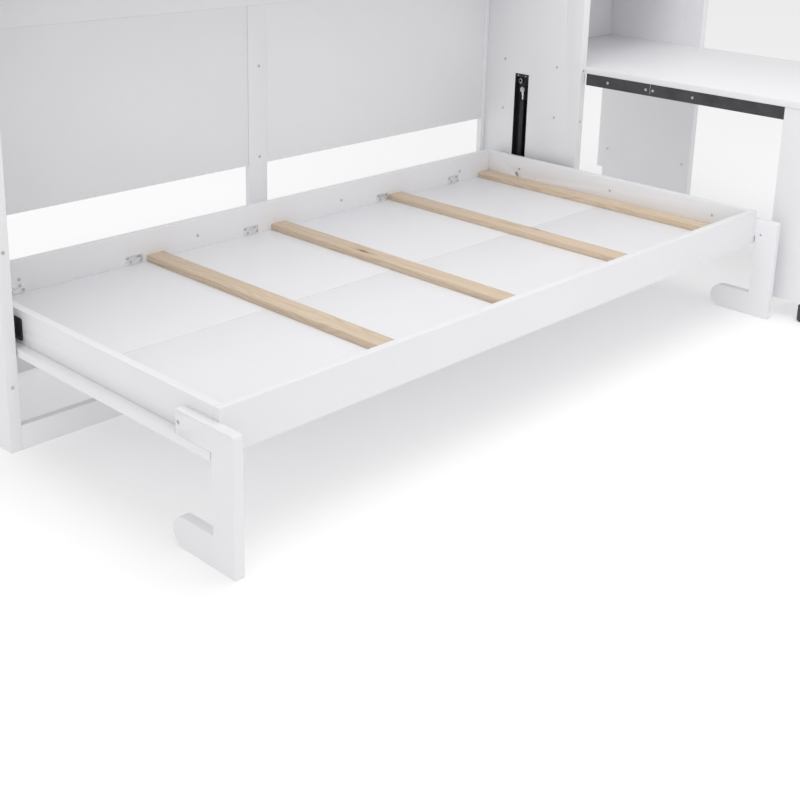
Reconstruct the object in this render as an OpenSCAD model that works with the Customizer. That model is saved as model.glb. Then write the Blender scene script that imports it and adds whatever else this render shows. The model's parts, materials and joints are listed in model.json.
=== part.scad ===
// Fold-down wall bed: a tray bed that hinges inside a floor-standing cabinet,
// with a desk built on to one end. Lengths in mm, +Z up, bed folded down.

/* [Bed tray] */
// Outside length of the bed tray
bed_l = 2000; // [1900:5:2100]
// Outside width of the bed tray, front to back
bed_w = 1030; // [940:5:1100]
// Height of the tray's side rails
rail_h = 100; // [80:5:140]
// Thickness of the tray's rails and end panels
rail_t = 20; // [15:1:25]
// Height of the tray's underside above the floor
tray_z = 225; // [200:5:280]
// Thickness of the bottom boards
floor_t = 15; // [9:1:18]
// Gap between the two bottom boards
floor_seam = 1.5; // [1:0.5:3]
// Width of one slat
slat_w = 55; // [40:1:80]
// Thickness of one slat
slat_t = 18; // [15:1:25]

/* [Legs and gap strips] */
// Thickness of a leg and of a gap strip
leg_t = 23.5; // [18:0.5:25]
// Width of a leg's upright
leg_w = 66; // [50:1:80]
// Distance from the tray's front face back to the upright
leg_clear = 2; // [1:0.5:5]
// Height of a leg's top arm
arm_h = 53; // [40:1:60]
// Reach of the top arm behind the tray's front face
arm_reach = 106; // [90:1:160]
// Height of a leg's foot
foot_h = 70; // [50:1:80]
// Reach of the foot behind the tray's front face
foot_reach = 124; // [90:1:160]
// Height of a gap strip
strip_h = 20; // [15:1:25]
// Distance of a gap strip's front end from the tray's front face
strip_front = 2; // [1:1:60]
// Diameter of a leg bolt's shank
leg_bolt_d = 6; // [5:0.5:8]
// Diameter of a leg bolt's head
leg_bolt_head = 9; // [8:0.5:14]
// Distance of a leg bolt from the arm's rear end
leg_bolt_in = 8; // [8:1:40]
// Diameter of the dowel between a leg and the front rail
dowel_d = 8; // [6:1:10]
// Diameter of the hole in a leg's inner face
leg_hole_d = 6; // [4:1:8]

/* [Cabinet] */
// Clearance between a leg's outer face and the cabinet's side
side_clear = 3.5; // [2.5:0.5:8]
// Thickness of the cabinet's sides
side_t = 30; // [28:1:36]
// Depth of the cabinet
cab_d = 410; // [380:5:480]
// Clearance between a folded leg and the top board
head_room = 11.5; // [6:0.5:120]
// Thickness of the cabinet's top board and rails
board_t = 20; // [15:1:25]
// Gap between the tray's back rail and the back frame
back_gap = 45; // [40:1:80]
// Thickness of the back frame
frame_t = 18; // [15:1:25]
// Thickness of the back panels
panel_t = 12; // [6:1:15]
// Height of the lower edge of the back panels
window_top = 424; // [380:1:500]
// Height of the middle back rail's lower edge
mid_z = 885; // [800:5:950]
// Height of the middle back rail
mid_h = 76; // [60:1:100]
// Width of the centre post
post_w = 68; // [50:1:90]
// Width of the corner stiles at the back
stile_w = 20; // [15:1:40]
// Height of the rails on the floor
base_h = 60; // [40:1:80]
// Height of the upper back rail
top_rail_h = 60; // [40:1:90]
// Spacing of the two wall fixing holes
wall_pitch = 800; // [400:100:1600]
// Diameter of a wall fixing hole
wall_hole = 7; // [5:0.5:9]

/* [Fold mechanism] */
// Distance of the gas springs from the back frame's front face
spring_in = 153.5; // [140:0.5:180]
// Gap between a hinge pin and the spring recess
crank_gap = 1.5; // [1:0.5:6]
// Height of the bed's hinge line in the tray, as a share of the rail's height
pivot_part = 0.4; // [0.36:0.01:0.45]
// Diameter of a hinge pin
pivot_d = 12; // [10:1:16]
// Radial clearance of a hinge pin in its bush
pivot_fit = 0.05; // [0.02:0.01:0.1]
// Radial clearance of a hinge pin in the end panel
panel_fit = 2; // [1:0.5:4]
// Width of a spring recess
slot_w = 57; // [50:1:70]
// Distance of the recess's upper end above the upper stud
slot_over = 54; // [40:1:80]
// Depth of a spring recess
slot_deep = 24; // [22:1:26]
// Sheet thickness of the recess channel
chan_t = 2; // [1.5:0.5:3]
// Length of a gas spring's cylinder
cyl_l = 195; // [170:1:240]
// Diameter of a gas spring's cylinder
cyl_d = 18; // [15:1:19]
// Length of gas spring rod that shows with the bed down
rod_show = 36; // [30:1:60]
// Diameter of a gas spring's rod
rod_d = 8; // [6:1:10]
// Radial clearance of the rod in the cylinder's gland
rod_fit = 0.05; // [0.02:0.01:0.1]
// Diameter of the spring studs
stud_d = 10; // [8:1:12]
// Radial clearance of the upper stud in its eye
stud_fit = 0.05; // [0.02:0.01:0.1]
// Outside diameter of the spring eyes
eye_d = 18; // [16:1:20]
// Width of the spring eyes
eye_w = 12; // [8:1:14]
// Thickness of the steel plate on the tray's end
crank_t = 4; // [3:0.5:5]
// Thickness of the steel hinge plate on the cabinet's side
plate_t = 3; // [2:0.5:3]

/* [Desk] */
// Distance between the cabinet and the desk's end panel
desk_w = 698; // [500:5:900]
// Height of the desktop's upper face
desk_h = 650; // [600:5:760]
// Thickness of the desktop
desk_t = 20; // [16:1:30]
// Reach of the desktop in front of the tray's front face
desk_front = 270; // [200:5:500]
// Height of the steel beams under the desktop
beam_h = 38; // [30:1:50]
// Depth of the steel beams' section
beam_d = 20; // [15:1:30]
// Sheet thickness of the steel beams
beam_t = 2; // [1.5:0.5:3]
// Distance of the beams' joint from the tray's front face
beam_joint = 438; // [300:1:520]
// Distance of the leg panels' rear edge in front of the tray's front face
leg_panel_y = 20; // [0:1:80]
// Thickness of the leg panels
leg_panel_t = 20; // [16:1:25]
// Height of the desk's feet
glide_h = 55; // [10:1:70]
// Height of the skirting notch in the end panel
notch_h = 130; // [80:1:160]
// Depth of the skirting notch in the end panel
notch_d = 25; // [15:1:40]
// Height of the shelf above the desk
shelf_z = 950; // [900:5:1050]

/* [Fasteners] */
// Diameter of a cabinet screw's head
screw_head = 9; // [6:0.5:12]
// Height of a cabinet screw's head
screw_head_h = 1.2; // [0.8:0.1:3]
// Diameter of a cabinet screw's shank
screw_d = 6; // [4:0.5:8]
// Length of a cabinet screw's shank
screw_l = 12; // [8:1:18]

/* [Hidden] */
$fn = 32;
e = 0.01;

tray_top = tray_z + rail_h;
floor_top = tray_z + floor_t;
frame_y = bed_w + back_gap;
back_y = frame_y + frame_t;
front_y = back_y - cab_d;
side_gap = leg_t + side_clear;
side_x = -side_gap;
spring_y = frame_y - spring_in;
crank = slot_w / 2 + pivot_d / 2 + crank_gap;
pivot_y = spring_y - crank;
pivot_z = tray_z + pivot_part * rail_h;
crank_z = pivot_z + crank;
cyl_z = crank_z + eye_d / 2 + 3;
stud_z = cyl_z + cyl_l + rod_show;
slot_top = stud_z + slot_over;
cab_h = pivot_z + pivot_y + leg_clear + leg_w + head_room + board_t;
slot_bot = pivot_z - crank - stud_d / 2 - 10;
spring_x = side_x - slot_deep + chan_t + 2 + cyl_d / 2;
arm_z = tray_z + strip_h;
leg_h = arm_z + arm_h;
slat_span = bed_l - 2 * rail_t - slat_w;
slat_at = [0, 0.28, 0.51, 0.77, 1];
// centres of the steel plates, measured from the left edge of each slat
bracket_off = [slat_w + 86, -42, -77, -30, -130];
desk_x = bed_l + side_gap + side_t;
end_x = desk_x + desk_w;
min_x = side_x - side_t;
max_x = end_x + side_t;
min_y = -desk_front;
under_desk = desk_h - desk_t;
panel_screw_z = [157, 472, 640, 990];
desk_screw_z = 206;
ox = -(min_x + max_x) / 2;
oy = -(min_y + back_y) / 2;

// everything is drawn from the tray's front left corner, then moved to the base centre
module place() { translate([ox, oy, 0]) children(); }
module right_side() { translate([bed_l, 0, 0]) mirror([1, 0, 0]) children(); }
module box(x0, y0, z0, x1, y1, z1) {
    translate([x0, y0, z0]) cube([x1 - x0, y1 - y0, z1 - z0]);
}
// round bar along X from x0 to x1
module bar_x(x0, x1, y, z, r) {
    translate([x0, y, z]) rotate([0, 90, 0]) cylinder(r = r, h = x1 - x0);
}
// screw with a domed head, its seat at the origin and its head towards +Z
module screw() {
    rotate_extrude($fn = 16) polygon([[0, -screw_l], [screw_d / 2, -screw_l], [screw_d / 2, 0],
        [screw_head / 2, 0], [screw_head / 2, screw_head_h * 0.5],
        [screw_head * 0.35, screw_head_h], [0, screw_head_h]]);
}
module screw_hole() { translate([0, 0, -screw_l]) cylinder(d = screw_d, h = screw_l + 1, $fn = 16); }

// ---------- bed tray ----------
module front_rail() {
    color("white") place() difference() {
        box(0, 0, tray_z, bed_l, rail_t, tray_top);
        leg_dowel();
        right_side() leg_dowel();
    }
}
module rear_rail() {
    color("white") place() difference() {
        box(0, bed_w - rail_t, tray_z, bed_l, bed_w, tray_top);
        rail_bolt_places() screw_hole();
        bracket_places() bracket_screw_places() screw_hole();
    }
}
module rail_bolt_places() {
    for (i = [0 : 3])
        translate([173 + i * (bed_l - 346) / 3, bed_w - rail_t, tray_z + 52]) rotate([90, 0, 0]) children();
}
module end_panel() {
    difference() {
        box(0, rail_t, tray_z, rail_t, bed_w - rail_t, tray_top);
        bar_x(-1, rail_t + 1, pivot_y, pivot_z, pivot_d / 2 + panel_fit);
        end_screw_places() screw_hole();
        leg_bolt_place() translate([0, 0, -leg_t - 14]) cylinder(d = leg_bolt_d, h = leg_t + 14);
    }
}
module left_end_panel() { color("white") place() end_panel(); }
module right_end_panel() { color("white") place() right_side() end_panel(); }
module end_screw_places() {
    for (y = [0.13, 0.49, 0.85])
        translate([rail_t, y * bed_w, tray_z + 60]) rotate([0, 90, 0]) children();
}
module tray_screws() {
    color("silver") place() {
        end_screw_places() screw();
        right_side() end_screw_places() screw();
        rail_bolt_places() screw();
        bracket_places() bracket_screw_places() screw();
    }
}
module bottom_board_front() {
    color("white") place()
        box(rail_t, rail_t, tray_z, bed_l - rail_t, bed_w / 2 - floor_seam / 2, floor_top);
}
module bottom_board_rear() {
    color("white") place()
        box(rail_t, bed_w / 2 + floor_seam / 2, tray_z, bed_l - rail_t, bed_w - rail_t, floor_top);
}
module slat(i) {
    color("burlywood") place()
        box(rail_t + slat_at[i] * slat_span, rail_t, floor_top,
            rail_t + slat_at[i] * slat_span + slat_w, bed_w - rail_t, floor_top + slat_t);
}
module slat_1() { slat(0); }
module slat_2() { slat(1); }
module slat_3() { slat(2); }
module slat_4() { slat(3); }
module slat_5() { slat(4); }

// flat steel plates that tie the bottom boards to the back rail beside the slats
bracket_l = 54;
bracket_h = 24;
bracket_t = 2;
module bracket_places() {
    for (i = [0 : 4])
        translate([rail_t + slat_at[i] * slat_span + bracket_off[i], bed_w - rail_t, floor_top + 3])
            children();
}
module bracket_screw_places() {
    for (x = [-17, 17], row = [0, 1])
        translate([x + 4.5 - 9 * row, -bracket_t, 6 + 12 * row]) rotate([90, 0, 0]) children();
}
module slat_brackets() {
    color("silver") place() bracket_places() difference() {
        translate([-bracket_l / 2, -bracket_t, 0]) cube([bracket_l, bracket_t, bracket_h]);
        bracket_screw_places() screw_hole();
    }
}

// ---------- legs ----------
module gap_strip() { box(-leg_t, strip_front, tray_z, 0, bed_w, arm_z); }
module left_gap_strip() { color("white") place() gap_strip(); }
module right_gap_strip() { color("white") place() right_side() gap_strip(); }
module leg_outline() {
    front = -leg_clear - leg_w;
    difference() {
        union() {
            translate([front, arm_z]) square([arm_reach - front, arm_h]);
            translate([front, 0]) square([leg_w, leg_h]);
            translate([front, 0]) square([foot_reach - foot_h / 2 - front, foot_h]);
            translate([foot_reach - foot_h / 2, foot_h / 2]) circle(d = foot_h, $fn = 48);
        }
        translate([front - 1, leg_h - 8]) difference() {
            square([9, 9]);
            translate([9, 0]) circle(r = 8);
        }
    }
}
module leg() {
    difference() {
        translate([-leg_t, 0, 0]) rotate([90, 0, 90]) linear_extrude(leg_t) leg_outline();
        leg_bolt_place() {
            translate([0, 0, -leg_t - 1]) cylinder(d = leg_bolt_d, h = leg_t + 2);
            translate([0, 0, -3]) cylinder(d = leg_bolt_head, h = 4);
        }
        leg_dowel();
        bar_x(-10, 1, -19, arm_z + 8, leg_hole_d / 2);
    }
}
module left_leg() { color("white") place() leg(); }
module right_leg() { color("white") place() right_side() leg(); }
module leg_bolt_place() {
    translate([-leg_t, arm_reach - leg_bolt_in, arm_z + arm_h / 2]) rotate([0, -90, 0]) children();
}
module leg_bolt() {
    leg_bolt_place() {
        translate([0, 0, -leg_t - 14]) cylinder(d = leg_bolt_d, h = leg_t + 12);
        difference() {
            translate([0, 0, -3]) cylinder(d = leg_bolt_head, h = 3);
            translate([0, 0, -1.5]) cylinder(d = leg_bolt_head * 0.55, h = 2, $fn = 6);
        }
    }
}
module leg_bolts() { color("silver") place() { leg_bolt(); right_side() leg_bolt(); } }
module leg_dowel() { bar_x(-15, 18, rail_t / 2, arm_z + arm_h / 2, dowel_d / 2); }
module leg_dowels() { color("tan") place() { leg_dowel(); right_side() leg_dowel(); } }

// ---------- bed side of the mechanism ----------
module crank_plate() {
    front = pivot_y - 188;
    low = arm_z + 8;
    high = pivot_z + 41;
    r = 6;
    difference() {
        union() {
            box(-crank_t, front + r, low, 0, spring_y + 35, high);
            box(-crank_t, front, low + r, 0, front + r, high - r);
            for (z = [low + r, high - r]) bar_x(-crank_t, 0, front + r, z, r);
            bar_x(-crank_t, 0, spring_y, crank_z, stud_d / 2 + 7);
        }
        bar_x(-crank_t - 1, 1, pivot_y, pivot_z, pivot_d / 2 + pivot_fit);
        bar_x(-crank_t - 1, 1, spring_y, crank_z, stud_d / 2);
    }
}
module left_crank_plate() { color("dimgray") place() crank_plate(); }
module right_crank_plate() { color("dimgray") place() right_side() crank_plate(); }
// the stud stops just short of the spring's lower eye
module crank_stud() {
    bar_x(spring_x + eye_w / 2 + 0.6, 0, spring_y, crank_z, stud_d / 2);
    bar_x(-crank_t - 3, -crank_t, spring_y, crank_z, stud_d / 2 + 3);
}
module crank_studs() { color("silver") place() { crank_stud(); right_side() crank_stud(); } }

// ---------- cabinet ----------
module slot_box(grow = 0) {
    box(side_x - slot_deep + grow, spring_y - slot_w / 2 + grow, slot_bot + grow,
        side_x + 1, spring_y + slot_w / 2 - grow, slot_top - grow);
}
module side_panel() {
    difference() {
        box(side_x - side_t, front_y, 0, side_x, back_y, cab_h);
        slot_box();
        side_screw_places() screw_hole();
        // shallow shadow line along the front stile above the desk's height
        box(side_x - 2, front_y + 68, 765, side_x + 1, front_y + 71, cab_h - board_t - 10);
    }
}
module left_side_panel() { color("white") place() side_panel(); }
module right_side_panel() { color("white") place() right_side() side_panel(); }
module side_screw_places() {
    for (z = panel_screw_z)
        translate([side_x - side_t / 2, front_y, z]) rotate([90, 0, 0]) children();
    for (z = [472, 640], y = [spring_y - 143, spring_y + 75])
        translate([side_x, y, z]) rotate([0, 90, 0]) children();
}
module cabinet_screws() {
    color("silver") place() {
        side_screw_places() screw();
        right_side() side_screw_places() screw();
        post_screw_places() screw();
        desk_screw_places() screw();
    }
}
module top_board() {
    color("white") place()
        box(side_x, front_y, cab_h - board_t, bed_l + side_gap, back_y, cab_h);
}
module front_base_rail() {
    color("white") place() box(side_x, front_y, 0, bed_l + side_gap, front_y + board_t, base_h);
}
module rear_base_rail() {
    color("white") place()
        box(side_x + stile_w, frame_y, 0, bed_l + side_gap - stile_w, back_y, base_h);
}
module centre_post() {
    color("white") place() difference() {
        box(bed_l / 2 - post_w / 2, frame_y, base_h, bed_l / 2 + post_w / 2, back_y, mid_z);
        post_screw_places() screw_hole();
    }
}
module post_screw_places() {
    for (z = [446, 712]) translate([bed_l / 2 + 5, frame_y, z]) rotate([90, 0, 0]) children();
}
module back_stile() { box(side_x, frame_y, 0, side_x + stile_w, back_y, cab_h - board_t); }
module left_back_stile() { color("white") place() back_stile(); }
module right_back_stile() { color("white") place() right_side() back_stile(); }
module middle_back_rail() {
    color("white") place()
        box(side_x + stile_w, frame_y, mid_z, bed_l + side_gap - stile_w, back_y, mid_z + mid_h);
}
module upper_back_rail() {
    color("white") place() difference() {
        box(side_x + stile_w, frame_y, cab_h - board_t - top_rail_h,
            bed_l + side_gap - stile_w, back_y, cab_h - board_t);
        for (s = [-0.5, 0.5])
            translate([bed_l / 2 + s * wall_pitch, frame_y - 1, cab_h - board_t - top_rail_h / 2])
                rotate([-90, 0, 0]) cylinder(d = wall_hole, h = frame_t + 2);
    }
}
module back_panel() {
    box(side_x + stile_w, frame_y + 3, window_top, bed_l / 2 - post_w / 2, frame_y + 3 + panel_t, mid_z);
}
module left_back_panel() { color("whitesmoke") place() back_panel(); }
module right_back_panel() { color("whitesmoke") place() right_side() back_panel(); }
module upper_panel() {
    box(side_x + stile_w, frame_y + 3, mid_z + mid_h, bed_l / 2 - 0.5, frame_y + 3 + panel_t,
        cab_h - board_t - top_rail_h);
}
module left_upper_panel() { color("whitesmoke") place() upper_panel(); }
module right_upper_panel() { color("whitesmoke") place() right_side() upper_panel(); }

// ---------- cabinet side of the mechanism ----------
strap_h = 12;
// steel channel with a short strap across its upper end
module spring_channel() {
    difference() {
        box(side_x - slot_deep, spring_y - slot_w / 2, slot_bot,
            side_x, spring_y + slot_w / 2, slot_top);
        slot_box(chan_t);
        bar_x(side_x - slot_deep - 1, side_x, spring_y, stud_z, stud_d / 2);
    }
    box(side_x - 3, spring_y - slot_w / 2 + e, slot_top - strap_h, side_x - 1, spring_y + slot_w / 2 - e,
        slot_top - e);
}
module left_spring_channel() { color("black") place() spring_channel(); }
module right_spring_channel() { color("black") place() right_side() spring_channel(); }
module hinge_plate() {
    y0 = pivot_y - 40;
    y1 = pivot_y + 20;
    difference() {
        box(side_x, y0, slot_bot, side_x + plate_t, y1, pivot_z + 30);
        bar_x(side_x - 1, 0, pivot_y, pivot_z, pivot_d / 2);
    }
}
module left_hinge_plate() { color("black") place() hinge_plate(); }
module right_hinge_plate() { color("black") place() right_side() hinge_plate(); }
module hinge_pin() { bar_x(side_x, rail_t - 4, pivot_y, pivot_z, pivot_d / 2); }
module hinge_pins() { color("silver") place() { hinge_pin(); right_side() hinge_pin(); } }
module spring_stud() {
    x0 = side_x - slot_deep;
    bar_x(x0, spring_x + eye_w / 2 + 2.5, spring_y, stud_z, stud_d / 2);
    bar_x(x0 + chan_t, spring_x - eye_w / 2 - 0.3, spring_y, stud_z, stud_d / 2 + 2);
    bar_x(spring_x + eye_w / 2 + 0.3, spring_x + eye_w / 2 + 2.5, spring_y, stud_z, stud_d / 2 + 2);
}
module spring_studs() { color("silver") place() { spring_stud(); right_side() spring_stud(); } }

// small ring on a bracket above each stud, and the strap's two rivets
module spring_clip() {
    for (s = [-1, 1]) bar_x(side_x - 1, side_x, spring_y + s * 15.5, slot_top - strap_h / 2, 2.2);
    r = 8;
    z = slot_top - 26;
    y = spring_y + slot_w / 2 - chan_t - r - 2.5;
    difference() {
        union() {
            bar_x(spring_x - 4, spring_x - 1, y, z, r);
            box(side_x - slot_deep + chan_t, y - 4, z - r - 2, spring_x - 2, y + 4, z - r + 3);
        }
        bar_x(spring_x - 5, spring_x, y, z, r - 3);
    }
}
module spring_clips() { color("silver") place() { spring_clip(); right_side() spring_clip(); } }

// ---------- gas springs ----------
rod_l = rod_show + 2 * crank + 55;
module spring_rod() {
    difference() {
        union() {
            bar_x(spring_x - eye_w / 2, spring_x + eye_w / 2, spring_y, stud_z, eye_d / 2);
            translate([spring_x, spring_y, stud_z - rod_l]) cylinder(d = rod_d, h = rod_l - 7);
            translate([spring_x, spring_y, stud_z - eye_d / 2 - 8]) cylinder(d = eye_w - 1, h = 11);
        }
        bar_x(spring_x - eye_w, spring_x + eye_w, spring_y, stud_z, stud_d / 2 + stud_fit);
    }
}
module left_spring_rod() { color("silver") place() spring_rod(); }
module right_spring_rod() { color("silver") place() right_side() spring_rod(); }
module spring_cylinder() {
    translate([spring_x, spring_y, cyl_z]) rotate_extrude() polygon([
        [0, 0], [cyl_d / 2 - 1, 0], [cyl_d / 2, 1], [cyl_d / 2, cyl_l - 1], [cyl_d / 2 - 1, cyl_l],
        [rod_d / 2 + rod_fit, cyl_l], [rod_d / 2 + rod_fit, cyl_l - 12],
        [cyl_d / 2 - 2, cyl_l - 14], [cyl_d / 2 - 2, 12], [0, 12]]);
    difference() {
        union() {
            bar_x(spring_x - eye_w / 2, spring_x + eye_w / 2, spring_y, crank_z, eye_d / 2);
            translate([spring_x, spring_y, crank_z]) cylinder(d = 10, h = eye_d / 2 + 4);
        }
        bar_x(spring_x - eye_w, spring_x + eye_w, spring_y, crank_z, stud_d / 2 + stud_fit);
    }
}
module left_spring_cylinder() { color("black") place() spring_cylinder(); }
module right_spring_cylinder() { color("black") place() right_side() spring_cylinder(); }

// ---------- desk ----------
module desktop() {
    color("white") place()
        box(desk_x, -desk_front, under_desk, end_x, frame_y, desk_h);
}
module beam(y0, y1) {
    difference() {
        box(desk_x + 2, y0, under_desk - beam_h, desk_x + 2 + beam_d, y1, under_desk);
        box(desk_x + 2 + beam_t, y0 - 1, under_desk - beam_h + beam_t,
            desk_x + 3 + beam_d, y1 + 1, under_desk - beam_t);
        beam_screw_places() translate([0, 0, -beam_t - 1]) cylinder(d = screw_d, h = 9);
    }
}
module rear_desk_beam() { color("dimgray") place() beam(beam_joint + 1, front_y - 2); }
module front_desk_beam() { color("dimgray") place() beam(-leg_panel_y, beam_joint - 1); }
module beam_screw_places() {
    for (y = [beam_joint + 0.65 * (front_y - beam_joint), beam_joint + 15,
            beam_joint - 11, beam_joint - 153])
        translate([desk_x + 2, y, under_desk - 20]) rotate([0, -90, 0]) children();
}
module beam_screws() { color("silver") place() beam_screw_places() screw(); }
module desk_end_panel() {
    color("white") place() difference() {
        box(end_x, front_y, 0, end_x + side_t, back_y, cab_h);
        box(end_x - 1, back_y - notch_d, -1, end_x + side_t + 1, back_y + 1, notch_h);
        box(end_x - 1, front_y + 68, desk_h + 15, end_x + 2, front_y + 71, shelf_z - 10);
        desk_screw_places() screw_hole();
    }
}
module desk_screw_places() {
    for (y = [front_y + 31, frame_y - 26])
        translate([end_x, y, desk_screw_z]) rotate([0, -90, 0]) children();
}
module desk_leg(x) { box(x, -desk_front, glide_h, x + leg_panel_t, -leg_panel_y, under_desk); }
module left_desk_leg() { color("white") place() desk_leg(desk_x + 2); }
module right_desk_leg() { color("white") place() desk_leg(end_x - leg_panel_t); }
module desk_leg_board() {
    color("white") place()
        box(desk_x + 2 + leg_panel_t, -leg_panel_y - board_t, glide_h,
            end_x - leg_panel_t, -leg_panel_y, under_desk);
}
module desk_back_panel() {
    color("whitesmoke") place() box(desk_x, frame_y, under_desk, end_x, back_y, cab_h);
}
module desk_board(z) { box(desk_x, front_y + 80, z, end_x, frame_y, z + board_t); }
module desk_shelf() { color("white") place() desk_board(shelf_z); }
module desk_top_board() { color("white") place() desk_board(cab_h - board_t); }
module desk_glides() {
    color("dimgray") place()
        for (x = [desk_x + 2, end_x - leg_panel_t], y = [-leg_panel_y - 125, 30 - desk_front])
            translate([x + leg_panel_t / 2, y, 0]) rotate_extrude()
                polygon([[0, 0], [9, 0], [9.5, 2], [9.5, 10], [5, 10], [5, glide_h], [0, glide_h]]);
}

front_rail();
rear_rail();
left_end_panel();
right_end_panel();
bottom_board_front();
bottom_board_rear();
slat_1();
slat_2();
slat_3();
slat_4();
slat_5();
slat_brackets();
tray_screws();
left_gap_strip();
right_gap_strip();
left_leg();
right_leg();
leg_bolts();
leg_dowels();
left_crank_plate();
right_crank_plate();
crank_studs();
left_side_panel();
right_side_panel();
top_board();
front_base_rail();
rear_base_rail();
centre_post();
left_back_stile();
right_back_stile();
middle_back_rail();
upper_back_rail();
left_back_panel();
right_back_panel();
left_upper_panel();
right_upper_panel();
cabinet_screws();
left_spring_channel();
right_spring_channel();
left_hinge_plate();
right_hinge_plate();
hinge_pins();
spring_studs();
spring_clips();
left_spring_rod();
right_spring_rod();
left_spring_cylinder();
right_spring_cylinder();
desktop();
rear_desk_beam();
front_desk_beam();
beam_screws();
desk_end_panel();
left_desk_leg();
right_desk_leg();
desk_leg_board();
desk_back_panel();
desk_shelf();
desk_top_board();
desk_glides();
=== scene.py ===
"""Fold-down wall bed: a slatted tray that hinges in a cabinet, with a desk built on to one end.

The boards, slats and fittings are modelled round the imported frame, one operator for each group.
Lengths are in metres. The bed lies along X, the wall is towards +Y and Z is up.
"""

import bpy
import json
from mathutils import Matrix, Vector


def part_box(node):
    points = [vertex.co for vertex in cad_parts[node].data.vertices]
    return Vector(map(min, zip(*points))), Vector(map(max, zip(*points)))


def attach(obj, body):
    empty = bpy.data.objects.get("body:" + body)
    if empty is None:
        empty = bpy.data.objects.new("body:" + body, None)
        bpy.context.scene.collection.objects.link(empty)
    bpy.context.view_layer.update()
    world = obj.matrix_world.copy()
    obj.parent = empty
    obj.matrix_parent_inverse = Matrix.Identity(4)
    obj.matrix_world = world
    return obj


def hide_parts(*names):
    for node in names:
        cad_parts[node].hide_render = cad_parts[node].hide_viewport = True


bl_info = {
    "name": "Wall Bed",
    "version": (1, 0, 0),
    "blender": (4, 5, 0),
    "location": "View3D > Sidebar > Wall Bed",
    "description": "Models the boards, slats and fittings of a fold-down wall bed",
    "category": "Object",
}

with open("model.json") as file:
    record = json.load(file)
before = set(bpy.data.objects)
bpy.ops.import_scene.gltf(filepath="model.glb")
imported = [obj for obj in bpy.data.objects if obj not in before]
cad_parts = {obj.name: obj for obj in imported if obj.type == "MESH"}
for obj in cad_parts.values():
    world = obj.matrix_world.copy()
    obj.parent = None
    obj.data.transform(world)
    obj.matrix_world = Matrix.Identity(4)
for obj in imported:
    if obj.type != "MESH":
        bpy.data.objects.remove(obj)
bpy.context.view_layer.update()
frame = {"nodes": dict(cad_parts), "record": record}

import json
import math

import bmesh
import bpy
from bpy.props import FloatProperty, FloatVectorProperty, PointerProperty
from mathutils import Matrix, Vector

RECORD = frame["record"]
BODY_OF = {node: body for body, nodes in RECORD["behaviour"]["bodies"].items() for node in nodes}
SLOT_OF = {row["node"]: row["material_slot"] for row in RECORD["subparts"]}
SIDES = ("left", "right")
CLEAR = 0.002  # how far a cutter stands out of the face that it enters
X, Y, Z = 0, 1, 2


# ---------- sizes and colours ----------


def length(name, description, default, low, high):
    """A length that the user can change, in metres."""
    return FloatProperty(
        name=name, description=description, default=default, min=low, max=high,
        unit="LENGTH", subtype="DISTANCE",
    )


def colour(name, description, default):
    """A colour that the user can change."""
    return FloatVectorProperty(
        name=name, description=description, default=default, min=0.0, max=1.0,
        size=3, subtype="COLOR",
    )


class WallBedSizes(bpy.types.PropertyGroup):
    """Sizes of the details that the frame leaves plain"""

    board_edge: length("Board Edge", "Radius of a painted board's eased edges", 0.0012, 0.0003, 0.003)
    slat_edge: length("Slat Edge", "Radius of the rounded long edges of a slat", 0.0025, 0.0005, 0.006)
    metal_edge: length("Metal Edge", "Radius of the broken edges on steel pieces", 0.0004, 0.0001, 0.001)
    foot_height: length("Foot Height", "Height of a leg's foot", 0.070, 0.05, 0.09)
    arm_height: length("Arm Height", "Height of a leg's top arm", 0.053, 0.03, 0.08)
    upright_width: length("Upright Width", "Width of a leg's upright", 0.066, 0.04, 0.09)
    arm_shy: length("Arm Setback", "Distance of the arm's end short of the foot's end", 0.018, 0.0, 0.04)
    crown: length("Leg Crown", "Radius of the leg's top front corner", 0.008, 0.002, 0.02)
    plate_corner: length("Plate Corner", "Radius of the slat brackets' corners", 0.005, 0.001, 0.01)
    recess_depth: length("Recess Depth", "Depth of the cross recess in a screw's head", 0.0008, 0.0002, 0.002)


class WallBedColours(bpy.types.PropertyGroup):
    """Colours of the finishes"""

    paint: colour("Paint", "Satin paint on the boards", (0.86, 0.86, 0.88))
    pine_light: colour("Pine Light", "Early wood of the slats", (0.70, 0.57, 0.43))
    pine_dark: colour("Pine Dark", "Late wood of the slats", (0.55, 0.41, 0.28))
    knot: colour("Knot", "Knots in the slats", (0.20, 0.105, 0.05))
    zinc: colour("Zinc", "Zinc-plated steel", (0.62, 0.63, 0.65))
    chrome: colour("Chrome", "Gas spring rods", (0.80, 0.81, 0.83))
    black: colour("Black Coat", "Powder coat on the mechanism", (0.012, 0.012, 0.014))
    grey: colour("Grey Coat", "Powder coat on the desk's beams", (0.045, 0.045, 0.05))
    plastic: colour("Plastic", "Moulded desk feet", (0.05, 0.05, 0.055))
    beech: colour("Beech", "Turned dowels", (0.60, 0.42, 0.25))
    floor: colour("Floor", "Floor of the studio", (0.88, 0.88, 0.88))


def sizes():
    """The scene's sizes."""
    return bpy.context.scene.wall_bed_sizes


def colours():
    """The scene's colours."""
    return bpy.context.scene.wall_bed_colours


# ---------- materials ----------


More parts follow.
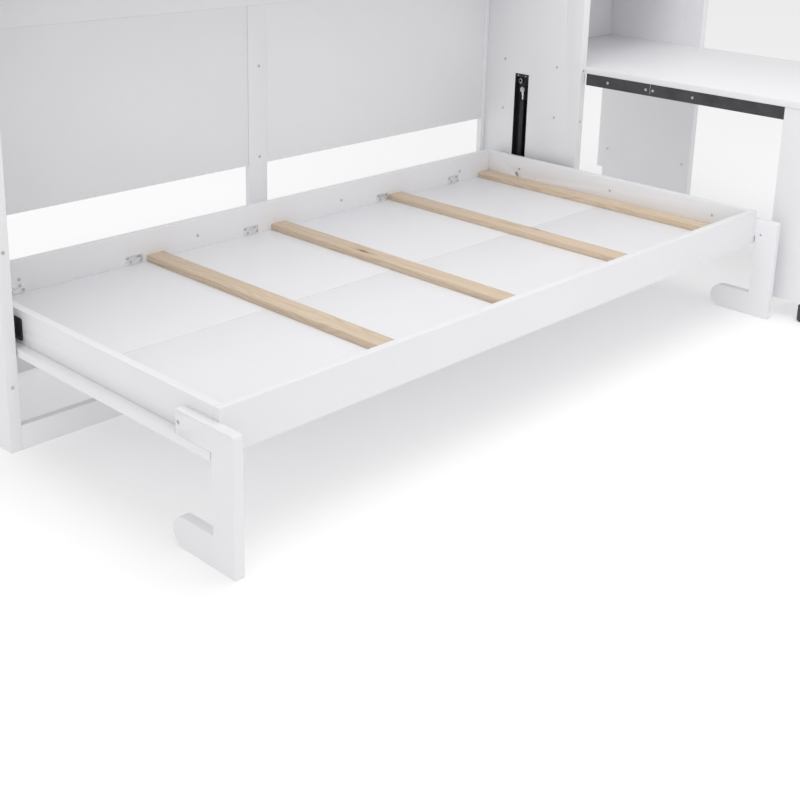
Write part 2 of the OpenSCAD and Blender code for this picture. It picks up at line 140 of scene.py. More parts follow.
class Finish:
    """A material's node tree with a Principled shader, on object coordinates."""

    def __init__(self, name, **sockets):
        self.material = bpy.data.materials.new(name)
        self.material.use_nodes = True
        self.tree = self.material.node_tree
        self.shader = self.tree.nodes["Principled BSDF"]
        for socket, value in sockets.items():
            self.shader.inputs[socket.replace("_", " ").title()].default_value = value
        self.place = self.tree.nodes.new("ShaderNodeTexCoord").outputs["Object"]

    def node(self, kind, inputs, **settings):
        """Adds a node, sets it, and links or fills its inputs."""
        node = self.tree.nodes.new("ShaderNode" + kind)
        for name, value in settings.items():
            setattr(node, name, value)
        for socket, value in inputs.items():
            if isinstance(value, bpy.types.NodeSocket):
                self.tree.links.new(value, node.inputs[socket])
            else:
                node.inputs[socket].default_value = value
        return node

    def stretch(self, scale, shift=(0, 0, 0)):
        """Object coordinates scaled and shifted along the axes."""
        inputs = {"Vector": self.place, "Scale": scale, "Location": shift}
        return self.node("Mapping", inputs).outputs[0]

    def noise(self, scale, detail=2.0, vector=None):
        """A noise from 0 to 1."""
        inputs = {"Vector": vector or self.place, "Scale": scale, "Detail": detail}
        return self.node("TexNoise", inputs).outputs["Fac"]

    def ramp(self, value, stops):
        """A value turned into colours between two stops, each a position and a colour."""
        node = self.node("ValToRGB", {"Fac": value})
        for element, (place, tint) in zip(node.color_ramp.elements, stops):
            element.position = place
            element.color = (*tint, 1)
        return node.outputs["Color"]

    def band(self, value, low, high, to_low=0.0, to_high=1.0):
        """A value stretched from one range to another."""
        inputs = {"Value": value, "From Min": low, "From Max": high, "To Min": to_low, "To Max": to_high}
        return self.node("MapRange", inputs).outputs["Result"]

    def mix(self, factor, first, second):
        """Two colours mixed by a factor."""
        node = self.node("Mix", {"Factor": factor}, data_type="RGBA")
        for socket, value in ((6, first), (7, second)):
            if isinstance(value, bpy.types.NodeSocket):
                self.tree.links.new(value, node.inputs[socket])
            else:
                node.inputs[socket].default_value = (*value, 1)
        return node.outputs[2]

    def maths(self, operation, first, second=0.0):
        """One arithmetic step."""
        return self.node("Math", {0: first, 1: second}, operation=operation).outputs[0]

    def bump(self, height, distance, below=None):
        """A bump of that height in metres, over another one if given."""
        inputs = {"Height": height, "Strength": 1.0, "Distance": distance}
        if below:
            inputs["Normal"] = below
        return self.node("Bump", inputs).outputs[0]

    def wear(self, **links):
        """Links the shader's sockets."""
        for socket, value in links.items():
            self.tree.links.new(value, self.shader.inputs[socket.replace("_", " ").title()])
        return self.material


def shade(tint, by):
    """A colour made darker or lighter by a factor."""
    return tuple(min(1.0, channel * by) for channel in tint)


def painted_board(edge):
    """Satin paint with a faint roller texture; the edges are rubbed a little."""
    tint = tuple(colours().paint)
    finish = Finish("board_edge_paint" if edge else "board_paint")
    cloud = finish.noise(2.2, 3.0)
    patch = finish.noise(38.0, 4.0)
    peel = finish.noise(420.0, 2.0)
    coat = finish.ramp(cloud, [(0.3, shade(tint, 0.975)), (0.7, tint)])
    coat = finish.mix(finish.band(patch, 0.3, 0.8, 0.0, 0.16), coat, shade(tint, 1.05))
    rough = finish.band(patch, 0.3, 0.7, 0.36, 0.5)
    if edge:
        rub = finish.band(finish.noise(85.0, 6.0), 0.6, 0.74, 0.0, 0.35)
        coat = finish.mix(rub, coat, shade(tint, 0.8))
        rough = finish.band(patch, 0.3, 0.7, 0.3, 0.42)
    lift = finish.bump(peel, 0.00005, finish.bump(patch, 0.0001))
    return finish.wear(base_color=coat, roughness=rough, normal=lift)


def planed_pine(edge):
    """Planed pine with growth lines, fibres and knots along the slat, and painted shade on the rounded edges.
    """
    finish = Finish("pine_shaded_edge" if edge else "pine")
    light, dark = tuple(colours().pine_light), tuple(colours().pine_dark)
    drift = finish.noise(1.0, 2.0, finish.stretch((14, 2.4, 14)))
    cells = finish.node(
        "TexVoronoi", {"Vector": finish.stretch((13, 3.1, 13), (0.3, 0.85, 0.2)), "Scale": 1.0},
    ).outputs["Distance"]
    near = finish.band(cells, 0.05, 0.4, 1.0, 0.0)
    phase = finish.maths("ADD", finish.maths("MULTIPLY", drift, 0.09), finish.maths("MULTIPLY", near, 0.022))
    along = finish.node("SeparateXYZ", {"Vector": finish.place}).outputs
    across = finish.maths("ADD", along["X"], finish.maths("MULTIPLY", along["Z"], 0.6))
    rings = finish.maths("SINE", finish.maths("MULTIPLY", finish.maths("ADD", across, phase), 620.0))
    lines = finish.band(rings, -0.4, 1.0, 0.0, 1.0)
    fibre = finish.noise(1.0, 5.0, finish.stretch((900, 16, 900)))
    streak = finish.noise(1.0, 3.0, finish.stretch((60, 1.3, 60)))
    wood = finish.mix(finish.maths("MULTIPLY", lines, 0.55), light, dark)
    wood = finish.mix(finish.band(streak, 0.35, 0.7, 0.0, 0.45), wood, shade(light, 1.12))
    wood = finish.mix(finish.band(fibre, 0.45, 0.8, 0.0, 0.35), wood, shade(dark, 0.8))
    heart = finish.band(cells, 0.035, 0.085, 1.0, 0.0)
    halo = finish.band(cells, 0.07, 0.2, 0.5, 0.0)
    wood = finish.mix(halo, wood, shade(dark, 0.8))
    wood = finish.mix(heart, wood, tuple(colours().knot))
    rough = finish.band(fibre, 0.3, 0.8, 0.52, 0.72)
    lift = finish.bump(fibre, 0.00012, finish.bump(lines, 0.00008))
    # On the rounded edges the wood is darkened in places: painted shade, standing for the dark line under the
    # slats.
    if edge:
        wood = finish.mix(finish.band(streak, 0.3, 0.7, 0.1, 0.4), wood, shade(dark, 0.85))
    return finish.wear(base_color=wood, roughness=rough, normal=lift)


def bright_steel(name, tint, low, high):
    """Bare or plated steel with fine marks."""
    finish = Finish(name, metallic=1.0)
    patch = finish.noise(160.0, 4.0)
    mark = finish.noise(1.0, 3.0, finish.stretch((2600, 2600, 500)))
    tone = finish.ramp(patch, [(0.3, shade(tint, 0.86)), (0.7, shade(tint, 1.08))])
    rough = finish.band(mark, 0.3, 0.75, low, high)
    return finish.wear(base_color=tone, roughness=rough, normal=finish.bump(mark, 0.00002))


def powder_coat(name, tint):
    """Powder coat with its fine pebbled skin."""
    finish = Finish(name)
    grain = finish.noise(1300.0, 2.0)
    patch = finish.noise(24.0, 4.0)
    tone = finish.ramp(patch, [(0.3, shade(tint, 0.8)), (0.72, shade(tint, 1.35))])
    rough = finish.band(patch, 0.3, 0.7, 0.34, 0.5)
    return finish.wear(base_color=tone, roughness=rough, normal=finish.bump(grain, 0.00006))


def moulded_plastic(name, tint):
    """Moulded plastic with a spark-eroded skin."""
    finish = Finish(name)
    grain = finish.noise(900.0, 3.0)
    tone = finish.ramp(finish.noise(50.0, 3.0), [(0.3, shade(tint, 0.85)), (0.7, shade(tint, 1.2))])
    rough = finish.band(grain, 0.3, 0.7, 0.45, 0.6)
    return finish.wear(base_color=tone, roughness=rough, normal=finish.bump(grain, 0.00005))


def turned_beech(name, tint):
    """Beech with short flecks along the dowel."""
    finish = Finish(name)
    fleck = finish.noise(1.0, 4.0, finish.stretch((60, 900, 900)))
    tone = finish.ramp(fleck, [(0.35, shade(tint, 0.82)), (0.7, shade(tint, 1.1))])
    rough = finish.band(fleck, 0.3, 0.7, 0.5, 0.7)
    return finish.wear(base_color=tone, roughness=rough, normal=finish.bump(fleck, 0.00006))


def steel_pair(name, tint, low, high):
    """Steel for the faces and, a little smoother, for the broken edges."""
    return [
        bright_steel(name, tint, low, high),
        bright_steel(name + "_edge", tint, low * 0.8, high * 0.8),
    ]


def coat_with_highlit_edges(name, tint):
    """Powder coat for the faces and, a little lighter, for the edges, where the lighter coat is a painted
    highlight.
    """
    # The edge coat is lighter than the face coat: a painted highlight along the edges.
    return [powder_coat(name, tint), powder_coat(name + "_edge", shade(tint, 1.8))]


FINISHES = {
    "white_board": lambda c: [painted_board(False), painted_board(True)],
    "pine": lambda c: [planed_pine(False), planed_pine(True)],
    "zinc_steel": lambda c: steel_pair("zinc", tuple(c.zinc), 0.24, 0.42),
    "bright_plate": lambda c: steel_pair("bright_plate", shade(tuple(c.zinc), 1.45), 0.3, 0.5),
    "chromed_rod": lambda c: steel_pair("chrome", tuple(c.chrome), 0.06, 0.16),
    "black_steel": lambda c: coat_with_highlit_edges("black_coat", tuple(c.black)),
    "grey_steel": lambda c: coat_with_highlit_edges("grey_coat", tuple(c.grey)),
    "dark_plastic": lambda c: [moulded_plastic("glide_plastic", tuple(c.plastic))],
    "beech": lambda c: [turned_beech("beech", tuple(c.beech))],
}
made = {}


def finishes(slot):
    """The materials of a slot: the first is for its faces and the second for its edges."""
    if slot not in made:
        made[slot] = FINISHES[slot](colours())
    return made[slot]


# ---------- modelling ----------


def only(piece):
    """Deselects everything else and makes the piece the one that operators act on."""
    bpy.ops.object.select_all(action="DESELECT")
    piece.select_set(True)
    bpy.context.view_layer.objects.active = piece


def settle(piece, name):
    """Names a new piece and puts its place, turn and scale into its mesh."""
    piece.name = piece.data.name = name
    only(piece)
    bpy.ops.object.transform_apply(location=True, rotation=True, scale=True)
    return piece


def add_box(name, low, high):
    """A box between two corners."""
    low, high = Vector(low), Vector(high)
    bpy.ops.object.select_all(action="DESELECT")
    bpy.ops.mesh.primitive_cube_add(size=1, location=(low + high) / 2)
    piece = bpy.context.object
    piece.scale = high - low
    return settle(piece, name)


def add_bar(name, start, axis, reach, radius, sides=32):
    """A round bar from a point along an axis, which may run backwards."""
    centre = Vector(start)
    centre[axis] += reach / 2
    turn = {X: (0, math.pi / 2, 0), Y: (math.pi / 2, 0, 0), Z: (0, 0, 0)}[axis]
    bpy.ops.object.select_all(action="DESELECT")
    bpy.ops.mesh.primitive_cylinder_add(
        vertices=sides, radius=radius, depth=abs(reach), location=centre, rotation=turn,
    )
    return settle(bpy.context.object, name)


def cut(piece, cutter):
    """Takes the cutter's shape out of the piece."""
    only(piece)
    taking = piece.modifiers.new("cut", "BOOLEAN")
    taking.operation = "DIFFERENCE"
    taking.solver = "EXACT"
    taking.object = cutter
    bpy.ops.object.modifier_apply(modifier=taking.name)
    bpy.data.objects.remove(cutter)


def select_edges(piece, axis=None, test=lambda at: True):
    """Selects the edges, in edit mode, along an axis if given, whose ends pass the test."""
    bpy.ops.mesh.select_mode(type="EDGE")
    bpy.ops.mesh.select_all(action="DESELECT")
    mesh = bmesh.from_edit_mesh(piece.data)
    for edge in mesh.edges:
        first, last = (corner.co for corner in edge.verts)
        run = last - first
        straight = axis is None or abs(run[axis]) > run.length * 0.999
        if straight and test(first) and test(last):
            edge.select_set(True)
    bmesh.update_edit_mesh(piece.data)


def select_faces(piece, test):
    """Selects the faces, in edit mode, whose middle and normal pass the test."""
    bpy.ops.mesh.select_mode(type="FACE")
    bpy.ops.mesh.select_all(action="DESELECT")
    mesh = bmesh.from_edit_mesh(piece.data)
    mesh.normal_update()
    for face in mesh.faces:
        if test(face.calc_center_median(), face.normal):
            face.select_set(True)
    bmesh.update_edit_mesh(piece.data)


def ease_edges(piece, radius, segments=3, sharper_than=35):
    """Rounds every edge sharper than an angle in degrees; the rounds take the edge material."""
    only(piece)
    bpy.ops.object.mode_set(mode="EDIT")
    bpy.ops.mesh.select_mode(type="EDGE")
    bpy.ops.mesh.select_all(action="DESELECT")
    bpy.ops.mesh.edges_select_sharp(sharpness=math.radians(sharper_than))
    bpy.ops.mesh.bevel(
        offset=radius, offset_type="OFFSET", segments=segments, profile=0.5,
        affect="EDGES", clamp_overlap=True, material=1,
    )
    bpy.ops.object.mode_set(mode="OBJECT")


def fit(piece, node, smooth=40, finish=None):
    """Gives the piece its finish, and puts it on the body and in the place of its node."""
    slot = SLOT_OF[node]
    piece.data.materials.clear()
    for material in finishes(finish or slot):
        piece.data.materials.append(material)
    only(piece)
    bpy.ops.object.shade_smooth_by_angle(angle=math.radians(smooth))
    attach(piece, BODY_OF[node])
    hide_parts(node)


def ready(piece):
    """Gives the piece two empty material places, for its faces and its edges."""
    piece.data.materials.append(None)
    piece.data.materials.append(None)
    return piece


def corners(node):
    """The lowest and highest corner of a node."""
    low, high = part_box(node)
    return Vector(low), Vector(high)


def board(node, cutters=()):
    """A painted board in the node's box, with its cuts made and its edges eased."""
    low, high = corners(node)
    piece = ready(add_box(node + "_board", low, high))
    for cutter in cutters:
        cut(piece, cutter)
    ease_edges(piece, sizes().board_edge)
    fit(piece, node)
    return piece


def copy_of(node, name):
    """A copy of the node's own shape, with its loose triangles merged into faces."""
    source = frame["nodes"][node]
    piece = bpy.data.objects.new(name, source.data.copy())
    bpy.context.scene.collection.objects.link(piece)
    only(piece)
    bpy.ops.mesh.customdata_custom_splitnormals_clear()
    bpy.ops.object.mode_set(mode="EDIT")
    bpy.ops.mesh.select_all(action="SELECT")
    bpy.ops.mesh.remove_doubles(threshold=1e-5)
    bpy.ops.mesh.dissolve_limited(angle_limit=math.radians(1))
    bpy.ops.object.mode_set(mode="OBJECT")
    piece.data.materials.clear()
    return ready(piece)


def softened(node, radius, segments=2):
    """The node's own shape with its sharp edges broken."""
    piece = copy_of(node, node + "_worked")
    ease_edges(piece, radius, segments)
    fit(piece, node)
    return piece


def solids(node):
    """The separate solids of a node, each as a list of its points."""
    mesh = bmesh.new()
    mesh.from_mesh(frame["nodes"][node].data)
    bmesh.ops.remove_doubles(mesh, verts=mesh.verts, dist=1e-5)
    found, seen = [], set()
    for first in mesh.verts:
        if first in seen:
            continue
        group, queue = [], [first]
        seen.add(first)
        while queue:
            corner = queue.pop()
            group.append(corner.co.copy())
            for edge in corner.link_edges:
                other = edge.other_vert(corner)
                if other not in seen:
                    seen.add(other)
                    queue.append(other)
        found.append(group)
    mesh.free()
    return found


def extent(points):
    """The lowest and highest corner of some points."""
    return (
        Vector([min(point[axis] for point in points) for axis in (X, Y, Z)]),
        Vector([max(point[axis] for point in points) for axis in (X, Y, Z)]),
    )


def nearest_solid(node, x):
    """The lowest and highest corner of the node's solid that starts nearest to a place along X."""
    return min((extent(points) for points in solids(node)), key=lambda box: abs(box[0].x - x))


def joined(pieces, name):
    """Several pieces made one."""
    bpy.ops.object.select_all(action="DESELECT")
    for piece in pieces:
        piece.select_set(True)
    bpy.context.view_layer.objects.active = pieces[0]
    if len(pieces) > 1:
        bpy.ops.object.join()
    pieces[0].name = pieces[0].data.name = name
    return pieces[0]


# ---------- operators ----------


class Step(bpy.types.Operator):
    """One group of pieces"""

    bl_options = {"REGISTER", "UNDO"}

    def execute(self, context):
        self.build()
        return {"FINISHED"}


PLAIN_BOARDS = (
    "front_rail", "rear_rail", "bottom_board_front", "bottom_board_rear",
    "left_gap_strip", "right_gap_strip",
    "top_board", "front_base_rail", "rear_base_rail", "centre_post",
    "left_back_stile", "right_back_stile", "middle_back_rail",
    "left_back_panel", "right_back_panel", "left_upper_panel", "right_upper_panel",
    "desktop", "left_desk_leg", "right_desk_leg", "desk_leg_board",
    "desk_back_panel", "desk_shelf", "desk_top_board",
)


class WALLBED_OT_boards(Step):
    """Model the plain boards of the tray, the cabinet and the desk"""

    bl_idname = "wallbed.boards"
    bl_label = "Boards"

    def build(self):
        for node in PLAIN_BOARDS:
            board(node)


class WALLBED_OT_cut_boards(Step):
    """Model the boards that have holes, recesses, notches or grooves"""

    bl_idname = "wallbed.cut_boards"
    bl_label = "Cut Boards"

    groove = 0.003
    groove_depth = 0.002
    groove_in = 0.068
    groove_end = 0.010  # how far a groove stops short of the board above it
    side_groove_up = 0.115  # height above the desktop at which a cabinet side's groove starts
    desk_groove_up = 0.015
    notch_depth = 0.025
    notch_height = 0.130
    pin_clear = 0.002

    def hinge_hole(self, side):
        """Clearance hole for the hinge pin through an end panel."""
        low, high = corners(side + "_end_panel")
        first, last = nearest_solid("hinge_pins", low.x)
        centre = (first + last) / 2
        radius = (last.z - first.z) / 2 + self.pin_clear
        start = (low.x - CLEAR, centre.y, centre.z)
        return add_bar("hole", start, X, high.x - low.x + 2 * CLEAR, radius)

    def shadow_groove(self, node, inner, bottom, top):
        """Shallow upright groove near the front edge of a cabinet side."""
        low, high = corners(node)
        x = high.x if inner > 0 else low.x
        y = low.y + self.groove_in
        low = (x - self.groove_depth, y, bottom)
        high = (x + self.groove_depth, y + self.groove, top)
        return add_box("groove", low, high)

    def spring_recess(self, side):
        """Recess for a gas spring's channel in a cabinet side."""
        low, high = corners(side + "_spring_channel")
        if side == "left":
            high.x += CLEAR
        else:
            low.x -= CLEAR
        return add_box("recess", low, high)

    def side_boards(self):
        """End panels of the tray and sides of the cabinet."""
        top = corners("top_board")[0].z - self.groove_end
        bottom = corners("desktop")[1].z + self.side_groove_up
        for side in SIDES:
            board(side + "_end_panel", [self.hinge_hole(side)])
            node = side + "_side_panel"
            inner = 1 if side == "left" else -1
            board(node, [self.spring_recess(side), self.shadow_groove(node, inner, bottom, top)])

    def wall_rail(self):
        """Upper rail with the holes that fix the cabinet to the wall."""
        low, high = corners("upper_back_rail")
        holes = next(mount for mount in RECORD["mounts"] if mount["name"] == "wall_holes")
        pitch = holes["dims"]["spacing_x_mm"] / 1000
        radius = holes["dims"]["hole_r_mm"] / 1000
        middle = Vector(holes["pos_m"])
        through = high.y - low.y + 2 * CLEAR
        starts = [(middle.x + share * pitch, low.y - CLEAR, middle.z) for share in (-0.5, 0.5)]
        board("upper_back_rail", [add_bar("hole", start, Y, through, radius) for start in starts])

    def desk_end(self):
        """Desk's end panel, notched for the skirting."""
        low, high = corners("desk_end_panel")
        notch_low = (low.x - CLEAR, high.y - self.notch_depth, low.z - CLEAR)
        notch = add_box("notch", notch_low, (high.x + CLEAR, high.y + CLEAR, self.notch_height))
        bottom = corners("desktop")[1].z + self.desk_groove_up
        top = corners("desk_shelf")[0].z - self.groove_end
        board("desk_end_panel", [notch, self.shadow_groove("desk_end_panel", -1, bottom, top)])

    def build(self):
        self.side_boards()
        self.wall_rail()
        self.desk_end()


class WALLBED_OT_legs(Step):
    """Model the hook-shaped legs from their uprights"""

    bl_idname = "wallbed.legs"
    bl_label = "Legs"

    nose = 0.4995  # radius of the foot's rear end, as a share of the foot's height
    bolt_recess = 0.003
    bolt_clear = 0.0001
    hole_in = 0.049  # from the leg's front face
    hole_up = 0.008  # above the arm's lower edge
    hole_depth = 0.010
    hole_radius = 0.003
    near = 1e-4

    def push(self, leg, low_z, high_z, reach):
        """Draws a foot or an arm out of the upright's rear face."""
        select_faces(leg, lambda at, normal: normal.y > 0.9 and low_z < at.z < high_z)
        bpy.ops.mesh.extrude_region_move(TRANSFORM_OT_translate={"value": (0, reach, 0)})

    def round_edges(self, leg, test, radius, segments):
        """Rounds the edges across the leg that pass a test."""
        select_edges(leg, X, test)
        bpy.ops.mesh.bevel(
            offset=radius, offset_type="OFFSET", segments=segments, profile=0.5,
            affect="EDGES", clamp_overlap=True,
        )

    def outline(self, node):
        """The leg's hook: an upright with an arm, a foot with a round end and a soft top corner."""
        wide, foot, arm = sizes().upright_width, sizes().foot_height, sizes().arm_height
        low, high = corners(node)
        rear = low.y + wide
        leg = ready(add_box(node + "_board", low, (high.x, rear, high.z)))
        bpy.ops.object.mode_set(mode="EDIT")
        for level in (foot, high.z - arm):
            bpy.ops.mesh.select_all(action="SELECT")
            bpy.ops.mesh.bisect(plane_co=(0, 0, level), plane_no=(0, 0, 1))
        self.push(leg, high.z - arm, high.z, high.y - sizes().arm_shy - rear)
        self.push(leg, 0, foot, high.y - rear)

        def foot_end(at):
            return abs(at.y - high.y) < self.near and (at.z < self.near or abs(at.z - foot) < self.near)

        def top_corner(at):
            return abs(at.y - low.y) < self.near and abs(at.z - high.z) < self.near

        self.round_edges(leg, foot_end, foot * self.nose, 20)
        self.round_edges(leg, top_corner, sizes().crown, 8)
        bpy.ops.object.mode_set(mode="OBJECT")
        return leg

    def drill(self, leg, side):
        """Recess for the bolt's head in the outer face, and a blind hole in the inner face."""
        low, high = corners(side + "_leg")
        outer, inner, inward = (low.x, high.x, 1) if side == "left" else (high.x, low.x, -1)
        first, last = nearest_solid("leg_bolts", low.x)
        centre = (first + last) / 2
        start = (outer - inward * CLEAR, centre.y, centre.z)
        radius = (last.y - first.y) / 2 + self.bolt_clear
        cut(leg, add_bar("recess", start, X, inward * (self.bolt_recess + CLEAR), radius, 40))
        height = high.z - sizes().arm_height + self.hole_up
        start = (inner + inward * CLEAR, low.y + self.hole_in, height)
        cut(leg, add_bar("hole", start, X, -inward * (self.hole_depth + CLEAR), self.hole_radius))

    def build(self):
        for side in SIDES:
            node = side + "_leg"
            leg = self.outline(node)
            self.drill(leg, side)
            ease_edges(leg, sizes().board_edge)
            fit(leg, node)


class WALLBED_OT_slats(Step):
    """Model the pine slats with rounded long edges"""

    bl_idname = "wallbed.slats"
    bl_label = "Slats"

    end_edge = 0.0005

    def build(self):
        radius = sizes().slat_edge
        for number in range(1, 6):
            node = f"slat_{number}"
            low, high = corners(node)
            slat = ready(add_box(node + "_plank", low, high))
            bpy.ops.object.mode_set(mode="EDIT")
            select_edges(slat, Y)
            bpy.ops.mesh.bevel(
                offset=radius, offset_type="OFFSET", segments=4, profile=0.5, affect="EDGES", material=1,
            )
            bpy.ops.object.mode_set(mode="OBJECT")
            ease_edges(slat, self.end_edge, 2)
            fit(slat, node, 60)


class WALLBED_OT_brackets(Step):
    """Model the drilled steel plates beside the slats"""

    bl_idname = "wallbed.brackets"
    bl_label = "Brackets"

    hole_off = 0.005
    hole_radius = 0.0026

    def build(self):
        plates = []
        for points in solids("slat_brackets"):
            low, high = extent(points)
            plate = ready(add_box("plate", low, high))
            bpy.ops.object.mode_set(mode="EDIT")
            select_edges(plate, Y)
            bpy.ops.mesh.bevel(
                offset=sizes().plate_corner, offset_type="OFFSET", segments=6, profile=0.5, affect="EDGES",
            )
            bpy.ops.object.mode_set(mode="OBJECT")
            centre = (low + high) / 2
            for off in (-self.hole_off, self.hole_off):
                start = (centre.x + off, low.y - CLEAR, centre.z)
                cut(plate, add_bar("hole", start, Y, high.y - low.y + 2 * CLEAR, self.hole_radius, 20))
            ease_edges(plate, sizes().metal_edge, 2)
            plates.append(plate)
        fit(joined(plates, "slat_bracket_plates"), "slat_brackets", finish="bright_plate")


class WALLBED_OT_screws(Step):
    """Model the cross-recessed screws and set one on each place"""

    bl_idname = "wallbed.screws"
    bl_label = "Screws"

    head_sides = 24
    head_height = 0.0014
    shank_radius = 0.003
    rim_width = 0.0002
    fine_edge = 0.00008
    cross = (0.6, 0.15)  # half length and half width of the recess's arms, as shares of the head's radius

    def one_screw(self, head_radius, shank):
        """A screw with its seat at the origin and its head towards +Z."""
        head_height, shank_radius = self.head_height, self.shank_radius
        screw = ready(add_bar("screw", (0, 0, 0), Z, head_height, head_radius, self.head_sides))
        bpy.ops.object.mode_set(mode="EDIT")
        select_edges(screw, test=lambda at: at.z > head_height * 0.9)
        bpy.ops.mesh.bevel(
            offset=head_height * 0.75, offset_type="OFFSET", segments=4, profile=0.5, affect="EDGES",
        )
        select_faces(screw, lambda at, normal: normal.z < -0.9)
        bpy.ops.mesh.inset(thickness=head_radius - shank_radius, use_even_offset=True)
        bpy.ops.mesh.extrude_region_move(TRANSFORM_OT_translate={"value": (0, 0, -shank)})
        bpy.ops.mesh.bevel(offset=shank_radius * 0.3, segments=2, affect="EDGES")
        bpy.ops.object.mode_set(mode="OBJECT")
        deep = head_height - sizes().recess_depth
        arm, half = (head_radius * share for share in self.cross)
        for wide, tall in ((arm, half), (half, arm)):
            cut(screw, add_box("cross", (-wide, -tall, deep), (wide, tall, head_height + CLEAR)))
        ease_edges(screw, self.fine_edge, 1, 50)
        return screw

    def place(self, points):
        """Where a screw sits and which way its head looks, from the points of its solid."""
        low, high = extent(points)
        spans = high - low
        axis = max((X, Y, Z), key=lambda way: spans[way])
        centre = (low + high) / 2
        edge = spans[(axis + 1) % 3] / 2 - self.rim_width
        rim = [point for point in points if self.off_axis(point, centre, axis) > edge]
        levels = [point[axis] for point in rim]
        head = 1 if sum(levels) / len(levels) > centre[axis] else -1
        seat = centre.copy()
        seat[axis] = min(levels) if head > 0 else max(levels)
        look = Vector((0, 0, 0))
        look[axis] = head
        return seat, look

    def off_axis(self, point, centre, axis):
        """How far a point is from the screw's middle line."""
        away = point - centre
        away[axis] = 0
        return away.length

    def build(self):
        for node in ("tray_screws", "cabinet_screws", "beam_screws"):
            groups = solids(node)
            low, high = extent(groups[0])
            spans = sorted(high - low)
            pattern = self.one_screw(spans[0] / 2, spans[2] - self.head_height)
            screws = []
            for count, points in enumerate(groups):
                seat, look = self.place(points)
                turn = look.to_track_quat("Z", "Y").to_matrix().to_4x4()
                spin = Matrix.Rotation(math.radians(37 * count % 90), 4, "Z")
                mesh = pattern.data.copy()
                mesh.transform(Matrix.Translation(seat) @ turn @ spin)
                screw = bpy.data.objects.new("screw", mesh)
                bpy.context.scene.collection.objects.link(screw)
                screws.append(screw)
            bpy.data.objects.remove(pattern)
            fit(joined(screws, node + "_set"), node, 30)


class WALLBED_OT_steelwork(Step):
    """Model the hinge plates, crank plates, channels, studs, bolts and beams"""

    bl_idname = "wallbed.steelwork"
    bl_label = "Steelwork"

    def build(self):
        edge = sizes().metal_edge
        for side in SIDES:
            for piece in ("crank_plate", "hinge_plate", "spring_channel"):
                softened(f"{side}_{piece}", edge)
        for node in ("crank_studs", "hinge_pins", "spring_studs", "spring_clips", "leg_bolts"):
            softened(node, edge)
        for node in ("rear_desk_beam", "front_desk_beam"):
            softened(node, edge * 1.5, 3)
        softened("leg_dowels", edge)


class WALLBED_OT_gas_springs(Step):
    """Model the gas springs' cylinders and rods"""

    bl_idname = "wallbed.gas_springs"
    bl_label = "Gas Springs"

    edge = 0.0003

    def build(self):
        for side in SIDES:
            softened(side + "_spring_cylinder", self.edge)
            softened(side + "_spring_rod", self.edge)


class WALLBED_OT_glides(Step):
    """Model the desk's feet, each a grooved pad on a stem"""

    bl_idname = "wallbed.glides"
    bl_label = "Desk Feet"

    pad = 0.010  # height
    stem = 0.005  # radius
    groove = (0.004, 0.006)  # heights of its lower and upper edge
    groove_depth = 0.0008
    edge = 0.0005

    def build(self):
        glides = []
        for points in solids("desk_glides"):
            low, high = extent(points)
            centre = (low + high) / 2
            radius = (high.x - low.x) / 2
            glide = ready(add_bar("glide", (centre.x, centre.y, low.z), Z, self.pad, radius))
            bpy.ops.object.mode_set(mode="EDIT")
            bottom, top = (low.z + level for level in self.groove)
            for level in (bottom, top):
                bpy.ops.mesh.select_all(action="SELECT")
                bpy.ops.mesh.bisect(plane_co=(0, 0, level), plane_no=(0, 0, 1))
            select_faces(glide, lambda at, normal: abs(normal.z) < 0.1 and bottom < at.z < top)
            inwards = {"value": -self.groove_depth}
            bpy.ops.mesh.extrude_region_shrink_fatten(TRANSFORM_OT_shrink_fatten=inwards)
            select_faces(glide, lambda at, normal: normal.z > 0.9)
            bpy.ops.mesh.inset(thickness=radius - self.stem, use_even_offset=True)
            upwards = {"value": (0, 0, high.z - low.z - self.pad)}
            bpy.ops.mesh.extrude_region_move(TRANSFORM_OT_translate=upwards)
            bpy.ops.object.mode_set(mode="OBJECT")
            ease_edges(glide, self.edge, 2, 50)
            glides.append(glide)
        fit(joined(glides, "desk_glide_feet"), "desk_glides")


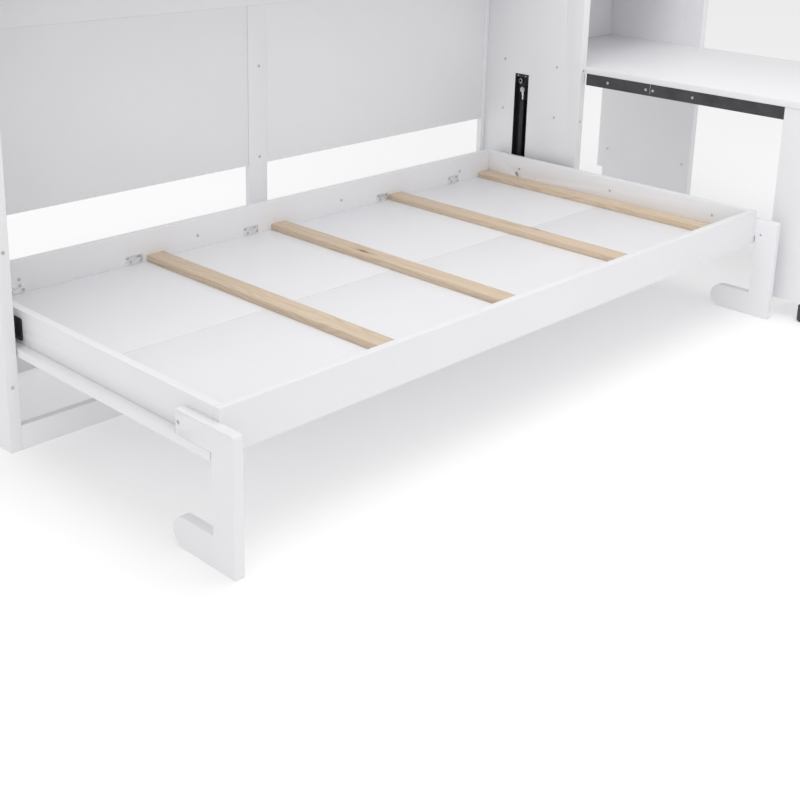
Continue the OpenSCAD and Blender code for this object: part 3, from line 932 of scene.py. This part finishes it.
class WALLBED_OT_stage(Step):
    """Set the floor, the soft light and the camera"""

    bl_idname = "wallbed.stage"
    bl_label = "Stage"

    eye = (-2.7004, -2.1235, 1.3348)
    yaw = 46.608
    down = 17.407
    roll = 1.461
    lens = 57.17
    shift = -0.2
    floor_glow = 0.2
    sky_strength = 0.66
    front_strength = 0.36
    front_spread = 60  # degrees
    front_way = (0.62, 0.62, -0.42)

    def floor(self):
        """A wide pale floor."""
        bpy.ops.object.select_all(action="DESELECT")
        bpy.ops.mesh.primitive_plane_add(size=60, location=(0, 0, 0))
        ground = settle(bpy.context.object, "studio_floor")
        finish = Finish("studio_floor")
        cloud = finish.noise(0.8, 2.0)
        tint = tuple(colours().floor)
        tone = finish.ramp(cloud, [(0.3, shade(tint, 0.99)), (0.7, tint)])
        finish.shader.inputs["Emission Color"].default_value = (1.0, 1.0, 1.0, 1.0)
        finish.shader.inputs["Emission Strength"].default_value = self.floor_glow
        rough = finish.band(cloud, 0, 1, 0.6, 0.7)
        ground.data.materials.append(finish.wear(base_color=tone, roughness=rough))

    def front_light(self):
        """A broad, even light from the front left, like a white wall across the room."""
        data = bpy.data.lights.new("front", "SUN")
        data.angle = math.radians(self.front_spread)
        data.energy = self.front_strength
        light = bpy.data.objects.new("front", data)
        bpy.context.scene.collection.objects.link(light)
        light.rotation_euler = Vector(self.front_way).to_track_quat("-Z", "Y").to_euler()

    def lamp(self, name, at, towards, size, power):
        """A large soft light that looks at a point."""
        data = bpy.data.lights.new(name, "AREA")
        data.shape = "SQUARE"
        data.size = size
        data.energy = power
        light = bpy.data.objects.new(name, data)
        bpy.context.scene.collection.objects.link(light)
        light.location = at
        light.rotation_euler = (Vector(towards) - Vector(at)).to_track_quat("-Z", "Y").to_euler()

    def camera(self):
        """The camera, turned about its own axes."""
        yaw, down, roll = (math.radians(angle) for angle in (self.yaw, self.down, self.roll))
        level = Vector((math.cos(yaw), -math.sin(yaw), 0))
        flat = math.cos(down)
        ahead = Vector((math.sin(yaw) * flat, math.cos(yaw) * flat, -math.sin(down)))
        upward = level.cross(ahead)
        right = math.cos(roll) * level + math.sin(roll) * upward
        up = math.cos(roll) * upward - math.sin(roll) * level
        data = bpy.data.cameras.new("camera")
        data.lens = self.lens
        data.shift_y = self.shift
        data.dof.use_dof = False
        camera = bpy.data.objects.new("camera", data)
        bpy.context.scene.collection.objects.link(camera)
        turn = Matrix((right, up, -ahead)).transposed().to_4x4()
        camera.matrix_world = Matrix.Translation(self.eye) @ turn
        bpy.context.scene.camera = camera

    def build(self):
        self.floor()
        world = bpy.data.worlds.new("studio")
        world.use_nodes = True
        sky = world.node_tree.nodes["Background"]
        sky.inputs["Color"].default_value = (1.0, 1.0, 1.0, 1)
        sky.inputs["Strength"].default_value = self.sky_strength
        bpy.context.scene.world = world
        middle = (0.0, 0.0, 0.4)
        self.lamp("top", (0.0, -0.5, 5.0), middle, 5.0, 45)
        self.lamp("over_tray", (-0.4, -0.15, 2.7), (0.0, 0.3, 0.4), 2.2, 18)
        self.front_light()
        self.camera()
        bpy.context.scene.view_settings.view_transform = "Standard"


# ---------- panel and registration ----------

STEPS = (
    WALLBED_OT_boards,
    WALLBED_OT_cut_boards,
    WALLBED_OT_legs,
    WALLBED_OT_slats,
    WALLBED_OT_brackets,
    WALLBED_OT_screws,
    WALLBED_OT_steelwork,
    WALLBED_OT_gas_springs,
    WALLBED_OT_glides,
    WALLBED_OT_stage,
)


class VIEW3D_PT_wall_bed(bpy.types.Panel):
    """Lists the wall bed's sizes, colours and steps"""

    bl_idname = "VIEW3D_PT_wall_bed"
    bl_label = "Wall Bed"
    bl_space_type = "VIEW_3D"
    bl_region_type = "UI"
    bl_category = "Wall Bed"

    def draw(self, context):
        column = self.layout.column()
        for group in (context.scene.wall_bed_sizes, context.scene.wall_bed_colours):
            for name in group.__annotations__:
                column.prop(group, name)
        for step in STEPS:
            column.operator(step.bl_idname)


CLASSES = (WallBedSizes, WallBedColours, *STEPS, VIEW3D_PT_wall_bed)


def register():
    """Registers the classes and the scene's settings."""
    for item in CLASSES:
        bpy.utils.register_class(item)
    bpy.types.Scene.wall_bed_sizes = PointerProperty(type=WallBedSizes)
    bpy.types.Scene.wall_bed_colours = PointerProperty(type=WallBedColours)


def unregister():
    """Takes the classes and the settings away again."""
    del bpy.types.Scene.wall_bed_colours
    del bpy.types.Scene.wall_bed_sizes
    for item in reversed(CLASSES):
        bpy.utils.unregister_class(item)


def main():
    """Models the bed step by step."""
    register()
    for step in STEPS:
        group, name = step.bl_idname.split(".")
        getattr(getattr(bpy.ops, group), name)()


if __name__ == "__main__":
    main()
